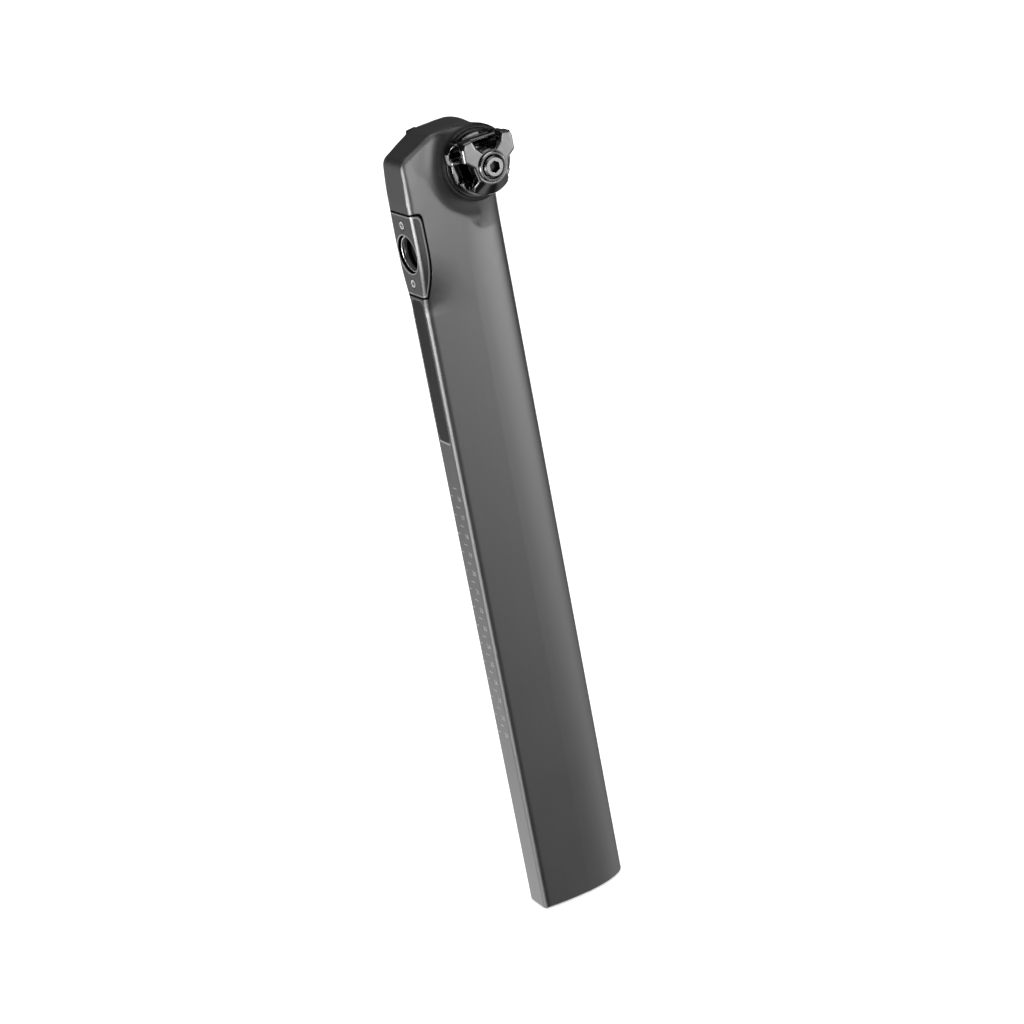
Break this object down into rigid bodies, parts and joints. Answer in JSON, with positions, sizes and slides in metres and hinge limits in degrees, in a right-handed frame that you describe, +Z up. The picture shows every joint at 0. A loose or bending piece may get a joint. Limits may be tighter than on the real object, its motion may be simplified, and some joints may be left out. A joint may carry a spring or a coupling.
{
  "type": "bicycle seatpost",
  "caption": "Carbon aero seatpost with a truncated aerofoil section, a ported tail cover and a side-loading clamp for two saddle rails.",
  "frame": {"origin": "lower end of the post, at the middle of its chord, on the centre plane", "axes": "+Z up the post to the saddle clamp, +X to the section's nose (forward on the bicycle), -Y the rider's right"},
  "size_m": [0.0558, 0.062, 0.4086],
  "materials": {
    "carbon": "moulded carbon fibre under a satin clear coat, dark grey",
    "cover": "satin dark grey moulded cover",
    "gloss_strip": "gloss black strip",
    "black_jaw": "forged aluminium, polished and black anodised",
    "black_cup": "turned aluminium, black anodised",
    "bolt_steel": "bright steel head with a dark hex socket",
    "washer_alloy": "turned dish, polished black with a bright rim",
    "small_screw": "dark steel countersunk screws",
    "insert_brass": "brass threaded inserts, hidden"
  },
  "bodies": {
    "post": {"post_shell": "carbon", "seat_cup_right": "black_cup", "seat_cup_left": "black_cup", "port_cover": "cover", "cover_screw_upper": "small_screw", "cover_screw_lower": "small_screw", "cover_insert_upper": "insert_brass", "cover_insert_lower": "insert_brass", "rear_strip": "gloss_strip"},
    "clamp_head": {"inner_clamp_right": "black_jaw", "inner_clamp_left": "black_jaw", "outer_clamp_right": "black_jaw", "outer_clamp_left": "black_jaw", "clamp_bolt": "bolt_steel", "bolt_washer": "washer_alloy", "clamp_nut": "bolt_steel", "nut_washer": "washer_alloy"}
  },
  "joints": [
    {"name": "saddle_tilt", "type": "hinge", "parent": "post", "child": "clamp_head", "pos_m": [0.0121, 0, 0.39], "axis": [0, -1, 0], "range_deg": [-35, 10]}
  ]
}
